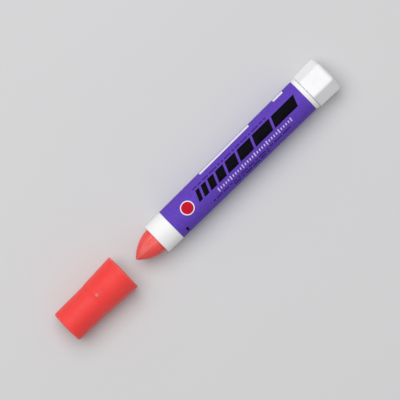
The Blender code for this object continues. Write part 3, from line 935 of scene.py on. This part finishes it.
def worn_share(angle):
    """The share of the radius that two worn sides cut from the point. They meet in a ridge near the top."""
    cut = 0.0
    for side in WORN_SIDES:
        off = apart(angle, side)
        if off < WORN_HALF:
            cut = max(cut, 1 - math.cos(math.radians(WORN_HALF)) / math.cos(math.radians(off)))
    return cut


def fade(s, start, end):
    share = min(1.0, max(0.0, (s - start) / (end - start)))
    return share * share * (3 - 2 * share)


def rough_paint(s, r):
    """A ring of the paint, dragged, worn and pitted inwards from its true radius."""
    bare = fade(s, BARE_STARTS, BARE_FULL)
    used = fade(s, WEAR_STARTS, WEAR_FULL)

    def at(angle):
        turn = math.radians(angle)
        way = Vector((DRAG_ALONG * s, DRAG_ROUND * math.sin(turn), DRAG_ROUND * math.cos(turn)))
        drag = noise.noise(way * DRAG_COARSE)
        drag += DRAG_FINE_SHARE * noise.noise(way * DRAG_FINE + DRAG_FINE_SHIFT)
        pit_round = PIT_ROUND * r
        pit = noise.noise(Vector((PIT_ALONG * s, pit_round * math.sin(turn), pit_round * math.cos(turn))))
        depth = max(0.0, SKIN + bare * (BARE_CUT + DRAG_CUT * drag + PIT_CUT * pit))
        return (s, max(TIP_RADIUS, r * (1 - used * worn_share(angle)) - depth * min(1.0, r / SMOOTH_TIP)))

    return at


def make_paint_stick():
    rows = filleted([
        (PAINT_BORE_FRONT, 0.0, 0.0),
        (PAINT_BORE_FRONT + PAINT_BORE_RADIUS, PAINT_BORE_RADIUS, BORE_FILLET),
        (PAINT_SLEEVE, PAINT_BORE_RADIUS, SLEEVE_EDGE),
        (PAINT_SLEEVE, PAINT_SLEEVE_RADIUS, SLEEVE_EDGE),
        (PAINT_FOOT, PAINT_SLEEVE_RADIUS, FOOT_INNER_EDGE),
        (PAINT_FOOT, PAINT_FOOT_RADIUS, FOOT_EDGE),
        (PAINT_STEP, PAINT_FOOT_RADIUS, STEP_FILLET),
        (PAINT_STEP, PAINT_RADIUS - SKIN, STEP_EDGE),
        (PLAIN_END, PAINT_RADIUS - SKIN, 0.0),
    ])
    for i in range(BODY_RINGS):
        rows.append(rough_paint(BODY_START * (1 - i / BODY_RINGS), PAINT_RADIUS))
    for i in range(POINT_RINGS):
        z = -PAINT_TIP * (1 - i / POINT_RINGS) ** POINT_CROWDING
        rows.append(rough_paint(PAINT_TIP + z, paint_radius(z)))
    rows.append((PAINT_TIP, 0.0))
    obj = lathe("paint_stick_solid", rows, even_angles(PAINT_SIDES))
    settle(obj, "paint", "paint", paint, "paint_stick")


# Cap

CAP_SIDES = 144
CAP_FILLET_STEPS = 8
CAP_DOME_RINGS = 8
CAP_DOME_EDGE = 0.97
CROWN_BLEND = 6.0
STEP_BLEND = 5.0
INNER_BLEND = 0.4
LIP_EDGE = 0.35
LIP_INNER_EDGE = 0.25


def skirt_radius(s):
    return CAP_MOUTH_RADIUS - (CAP_MOUTH - s) * CAP_SKIRT_TAPER


def make_cap():
    step_radius = skirt_radius(CAP_STEP)
    crown = CAP_STEP - CAP_SHOULDER_LENGTH
    crown_radius = step_radius - CAP_SHOULDER
    end = CAP_END + CAP_DOME
    end_radius = crown_radius - (crown - end) * CAP_CROWN_TAPER
    dome_radius = end_radius - CAP_END_FILLET
    inner_end = end + CAP_END_WALL
    rows = []
    for i in range(CAP_DOME_RINGS):
        share = i / CAP_DOME_RINGS
        rows.append((end - CAP_DOME * (1 - share ** 2), dome_radius * share))
    rows += filleted([
        (end, CAP_DOME_EDGE * dome_radius, 0.0),
        (end, end_radius, CAP_END_FILLET),
        (crown, crown_radius, CROWN_BLEND),
        (CAP_STEP, step_radius, STEP_BLEND),
        (CAP_MOUTH, CAP_MOUTH_RADIUS, LIP_EDGE),
        (CAP_MOUTH, CAP_BORE_RADIUS, LIP_INNER_EDGE),
        (CAP_STEP, step_radius - CAP_WALL, INNER_BLEND),
        (crown, crown_radius - CAP_WALL, INNER_BLEND),
        (inner_end, end_radius - CAP_WALL, CAP_INNER_FILLET),
        (inner_end, 0.0, 0.0),
    ], steps=CAP_FILLET_STEPS)
    obj = crisp(lathe("cap_shell", rows, even_angles(CAP_SIDES)))
    settle(obj, "cap", "cap", red_cap, "cap")


GATE_PAST_STEP = 0.75
GATE_PLACE = CAP_STEP + GATE_PAST_STEP
GATE_ANGLE = 6.6
GATE_RADIUS = 0.9
GATE_HEIGHT = 0.16
GATE_SIDES = 20
GATE_SHARP = 70.0
# Shares of the gate mark's radius and height, from its top down into the cap's wall
GATE_OUTLINE = ((0.45, 0.95), (0.75, 0.75), (0.93, 0.35), (1.0, -0.3), (1.0, -1.0))


def make_cap_mark():
    """The low round pad that the mould's gate left on the cap, just past its step."""
    lean = math.radians(GATE_ANGLE)
    up = Vector((0.0, math.sin(lean), math.cos(lean)))
    side = Vector((0.0, math.cos(lean), -math.sin(lean)))
    ahead = Vector((1.0, 0.0, 0.0))
    middle = Vector(spot(GATE_PLACE, skirt_radius(GATE_PLACE), GATE_ANGLE))
    bm = bmesh.new()
    rings = []
    for share, height in GATE_OUTLINE:
        ring = []
        for angle in even_angles(GATE_SIDES):
            turn = math.radians(angle)
            out = (ahead * math.cos(turn) + side * math.sin(turn)) * share * GATE_RADIUS
            ring.append(bm.verts.new(middle + (out + up * height * GATE_HEIGHT) * MM))
        rings.append(ring)
    for ring, after in zip(rings, rings[1:]):
        for i in range(len(ring)):
            bm.faces.new((ring[i - 1], ring[i], after[i], after[i - 1]))
    bm.faces.new(rings[0])
    bm.faces.new(rings[-1])
    settle(solid("cap_gate_mark", bm, sharp=GATE_SHARP), "cap", "cap", red_mark)


# Inner pieces, which keep their CAD shapes


def dress_inner_pieces():
    for node in ("feed_screw", "carrier"):
        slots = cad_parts[node].data.materials
        slots.clear()
        slots.append(natural)


# Floor, light and camera

FLOOR_SIZE = 6.0
FLOOR_PALE = (0.68, 0.68, 0.69)
FLOOR_DEEP = (0.65, 0.65, 0.66)
BACKDROP_LEVEL = 0.62
AMBIENT_LEVEL = 0.33
KEY_LEVEL = 0.68
KEY_DISTANCE = 1.4
KEY_SIZE = 1.4
KEY_LEAN = 19.0
CAMERA_DISTANCE = 2.6
CAMERA_X = 0.00087
CAMERA_Y = -0.00104
CAMERA_TURN = -44.46
SENSOR_MM = 36.0
CAMERA_REACH = 20.0
FRAME_WIDTH = 0.1857


def make_floor():
    bm = bmesh.new()
    bmesh.ops.create_grid(bm, x_segments=2, y_segments=2, size=FLOOR_SIZE)
    floor = shown("floor", bm)
    n = Nodes("pale_floor")
    tint = n.mix(n.noise(3.0, detail=2.0), FLOOR_DEEP, FLOOR_PALE)
    n.set(Base_Color=tint, Roughness=0.9, Specular_IOR_Level=0.1)
    floor.data.materials.append(n.material)


def make_world():
    """Even light from all round. Rays that show it to the eye see the pale backdrop instead."""
    world = bpy.data.worlds.new("studio")
    world.use_nodes = True
    tree = world.node_tree
    path = tree.nodes.new("ShaderNodeLightPath")
    seen = path.outputs["Is Camera Ray"]
    for kind in ("Is Glossy Ray", "Is Transmission Ray"):
        either = tree.nodes.new("ShaderNodeMath")
        either.operation = "MAXIMUM"
        tree.links.new(seen, either.inputs[0])
        tree.links.new(path.outputs[kind], either.inputs[1])
        seen = either.outputs["Value"]
    level = tree.nodes.new("ShaderNodeMapRange")
    level.inputs["To Min"].default_value = AMBIENT_LEVEL
    level.inputs["To Max"].default_value = BACKDROP_LEVEL
    tree.links.new(seen, level.inputs["Value"])
    background = tree.nodes["Background"]
    background.inputs["Color"].default_value = (1.0, 1.0, 1.0, 1.0)
    tree.links.new(level.outputs["Result"], background.inputs["Strength"])
    bpy.context.scene.world = world


def make_key():
    """A broad round lamp that leans from overhead to +Y.

    A white surface that faces it gets KEY_LEVEL from it.
    """
    lamp = bpy.data.lights.new("key", "AREA")
    lamp.shape = "DISK"
    lamp.size = KEY_SIZE
    lamp.energy = KEY_LEVEL * math.pi ** 2 * (KEY_DISTANCE ** 2 + (KEY_SIZE / 2) ** 2)
    obj = bpy.data.objects.new("key", lamp)
    lean = math.radians(KEY_LEAN)
    obj.location = (0.0, KEY_DISTANCE * math.sin(lean), KEY_DISTANCE * math.cos(lean))
    obj.rotation_euler = (-lean, 0.0, 0.0)
    obj.visible_camera = False
    bpy.context.scene.collection.objects.link(obj)


def make_camera():
    """A camera straight above, turned as the photo's is."""
    camera = bpy.data.cameras.new("camera")
    camera.sensor_width = SENSOR_MM
    camera.lens = SENSOR_MM * CAMERA_DISTANCE / FRAME_WIDTH
    camera.clip_end = CAMERA_REACH
    obj = bpy.data.objects.new("camera", camera)
    obj.location = (CAMERA_X, CAMERA_Y, AXIS_Z + CAMERA_DISTANCE)
    obj.rotation_euler = (0.0, 0.0, math.radians(CAMERA_TURN))
    bpy.context.scene.collection.objects.link(obj)
    bpy.context.scene.camera = obj


make_barrel()
make_label()
make_bars()
make_scale()
make_stroke_rows()
make_marks()
make_knob()
make_paint_stick()
make_cap()
make_cap_mark()
dress_inner_pieces()
make_floor()
make_world()
make_key()
make_camera()
bpy.context.scene.view_settings.view_transform = "Standard"
